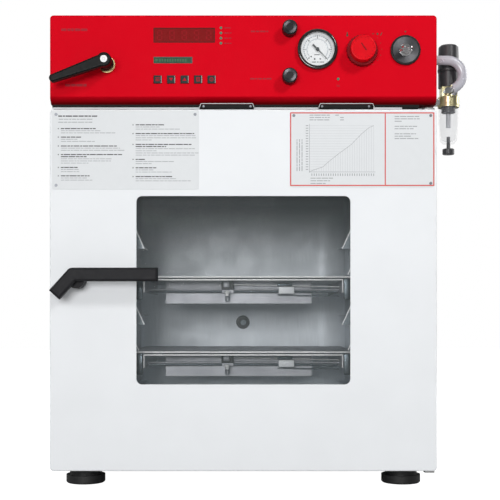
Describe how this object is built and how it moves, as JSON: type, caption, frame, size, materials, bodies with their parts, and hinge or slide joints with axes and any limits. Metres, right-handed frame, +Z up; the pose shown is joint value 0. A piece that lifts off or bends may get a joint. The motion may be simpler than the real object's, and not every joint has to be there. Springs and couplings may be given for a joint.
{
  "type": "vacuum oven",
  "caption": "Bench-top vacuum oven: pale cabinet, hinged window door with lever handle, red control front, shelves and a side filter regulator.",
  "frame": {"origin": "on the floor under the feet, in the middle of the whole oven's outline seen from above, filter, knobs and pump flange included; that is 30.2 mm right of the cabinet's middle and 10.4 mm in front of it", "axes": "+X to the right of someone facing the door, +Y back into the oven, +Z up"},
  "size_m": [0.6954, 0.6228, 0.777],
  "materials": {
    "casing_paint": "fine textured powder coat",
    "door_paint": "smooth powder coat",
    "red_paint": "gloss powder coat",
    "black_trim": "matt",
    "stainless": "brushed",
    "shelf_metal": "brushed",
    "bright_steel": "turned",
    "pipe_steel": "drawn",
    "seal_rubber": "silicone",
    "mat_rubber": "silicone heating mat",
    "mineral_wool": "felted",
    "foot_rubber": "matt",
    "safety_glass": "polished",
    "clear_plastic": "clear",
    "display_red": "gloss",
    "lcd_green": "gloss",
    "led_plastic": "gloss",
    "board_green": "solder mask",
    "button_grey": "matt",
    "gauge_black": "gloss enamel",
    "dial_white": "matt enamel",
    "pointer_black": "matt",
    "knob_black": "turned",
    "knob_red": "gloss",
    "switch_black": "turned",
    "chrome": "polished",
    "lever_black": "satin",
    "handle_grey": "satin",
    "brass": "cast",
    "regulator_black": "satin",
    "drain_black": "satin",
    "hose_clear": "translucent",
    "inlet_black": "matt",
    "plate_white": "printed"
  },
  "bodies": {
    "cabinet": {"outer_casing": "casing_paint", "base_plate": "casing_paint", "feet": "foot_rubber", "rear_panel": "casing_paint", "mains_inlet": "inlet_black", "front_frame": "casing_paint", "inner_chamber": "stainless", "door_seal": "seal_rubber", "heating_mats": "mat_rubber", "chamber_insulation": "mineral_wool", "rack_rails": "stainless", "hinge_brackets": "bright_steel", "control_panel": "red_paint", "panel_trim": "black_trim", "casing_screws": "bright_steel", "display_window": "display_red", "lcd_window": "lcd_green", "indicator_leds": "led_plastic", "control_board": "board_green", "gauge_case": "gauge_black", "gauge_dial": "dial_white", "gauge_glass": "safety_glass", "needle_valve_bodies": "brass", "thermostat_body": "switch_black", "key_switch_body": "switch_black", "vacuum_valve_body": "brass", "vacuum_pipework": "pipe_steel", "gas_pipework": "pipe_steel", "filter_head": "brass", "filter_bowl": "clear_plastic", "filter_baffle": "regulator_black", "regulator_body": "regulator_black", "filter_bracket": "bright_steel", "gas_hose": "hose_clear", "hose_fittings": "chrome"},
    "door": {"door_outer_shell": "door_paint", "door_inner_frame": "door_paint", "polycarbonate_shield": "clear_plastic", "safety_glass": "safety_glass", "glass_retainers": "bright_steel", "hinge_leaves": "bright_steel", "door_plates": "plate_white", "plate_rivets": "bright_steel"},
    "door_lever": {"door_handle": "handle_grey", "latch_cam": "bright_steel"},
    "vacuum_tap": {"vacuum_lever": "lever_black"},
    "air_valve": {"air_valve_knob": "knob_black"},
    "gas_valve": {"gas_valve_knob": "knob_black"},
    "thermostat": {"thermostat_knob": "knob_red"},
    "key": {"switch_key": "chrome"},
    "gauge_hand": {"gauge_pointer": "pointer_black"},
    "regulator_cap": {"regulator_knob": "regulator_black"},
    "drain_tap": {"drain_knob": "drain_black"},
    "top_rack": {"upper_shelf": "shelf_metal"},
    "bottom_rack": {"lower_shelf": "shelf_metal"},
    "menu_push": {"menu_button": "button_grey"},
    "down_push": {"down_button": "button_grey"},
    "up_push": {"up_button": "button_grey"},
    "enter_push": {"enter_button": "button_grey"},
    "timer_push": {"timer_button": "button_grey"}
  },
  "joints": [
    {"name": "door_swing", "type": "hinge", "parent": "cabinet", "child": "door", "pos_m": [0.2778, -0.2476, 0.3257], "axis": [0, 0, 1], "range_deg": [0, 110]},
    {"name": "door_handle_turn", "type": "hinge", "parent": "door", "child": "door_lever", "pos_m": [-0.3002, -0.2796, 0.342], "axis": [0, -1, 0], "range_deg": [0, 90]},
    {"name": "vacuum_lever_turn", "type": "hinge", "parent": "cabinet", "child": "vacuum_tap", "pos_m": [-0.2532, -0.2896, 0.694], "axis": [0, 1, 0], "range_deg": [0, 90]},
    {"name": "air_valve_turn", "type": "hinge", "parent": "cabinet", "child": "air_valve", "pos_m": [0.0453, -0.2696, 0.752], "axis": [0, -1, 0], "range_deg": [0, 990]},
    {"name": "gas_valve_turn", "type": "hinge", "parent": "cabinet", "child": "gas_valve", "pos_m": [0.0453, -0.2696, 0.674], "axis": [0, -1, 0], "range_deg": [0, 990]},
    {"name": "thermostat_turn", "type": "hinge", "parent": "cabinet", "child": "thermostat", "pos_m": [0.1638, -0.2696, 0.7172], "axis": [0, 1, 0], "range_deg": [0, 270]},
    {"name": "key_turn", "type": "hinge", "parent": "cabinet", "child": "key", "pos_m": [0.2354, -0.2696, 0.7189], "axis": [0, 1, 0], "range_deg": [0, 90]},
    {"name": "gauge_hand_turn", "type": "hinge", "parent": "cabinet", "child": "gauge_hand", "pos_m": [0.0911, -0.2686, 0.7199], "axis": [0, -1, 0], "range_deg": [0, 270]},
    {"name": "regulator_cap_turn", "type": "hinge", "parent": "cabinet", "child": "regulator_cap", "pos_m": [0.3218, -0.1846, 0.72], "axis": [0, 0, 1], "range_deg": [0, 340]},
    {"name": "drain_tap_turn", "type": "hinge", "parent": "cabinet", "child": "drain_tap", "pos_m": [0.3218, -0.1846, 0.565], "axis": [0, 0, 1], "range_deg": [0, 180]},
    {"name": "menu_press", "type": "slide", "parent": "cabinet", "child": "menu_push", "axis": [0, 1, 0], "range_m": [0, 0.0012], "stiffness_N_per_m": 300},
    {"name": "down_press", "type": "slide", "parent": "cabinet", "child": "down_push", "axis": [0, 1, 0], "range_m": [0, 0.0012], "stiffness_N_per_m": 300},
    {"name": "up_press", "type": "slide", "parent": "cabinet", "child": "up_push", "axis": [0, 1, 0], "range_m": [0, 0.0012], "stiffness_N_per_m": 300},
    {"name": "enter_press", "type": "slide", "parent": "cabinet", "child": "enter_push", "axis": [0, 1, 0], "range_m": [0, 0.0012], "stiffness_N_per_m": 300},
    {"name": "timer_press", "type": "slide", "parent": "cabinet", "child": "timer_push", "axis": [0, 1, 0], "range_m": [0, 0.0012], "stiffness_N_per_m": 300},
    {"name": "top_rack_slide", "type": "slide", "parent": "cabinet", "child": "top_rack", "axis": [0, -1, 0], "range_m": [0, 0.022]},
    {"name": "bottom_rack_slide", "type": "slide", "parent": "cabinet", "child": "bottom_rack", "axis": [0, -1, 0], "range_m": [0, 0.022]}
  ]
}
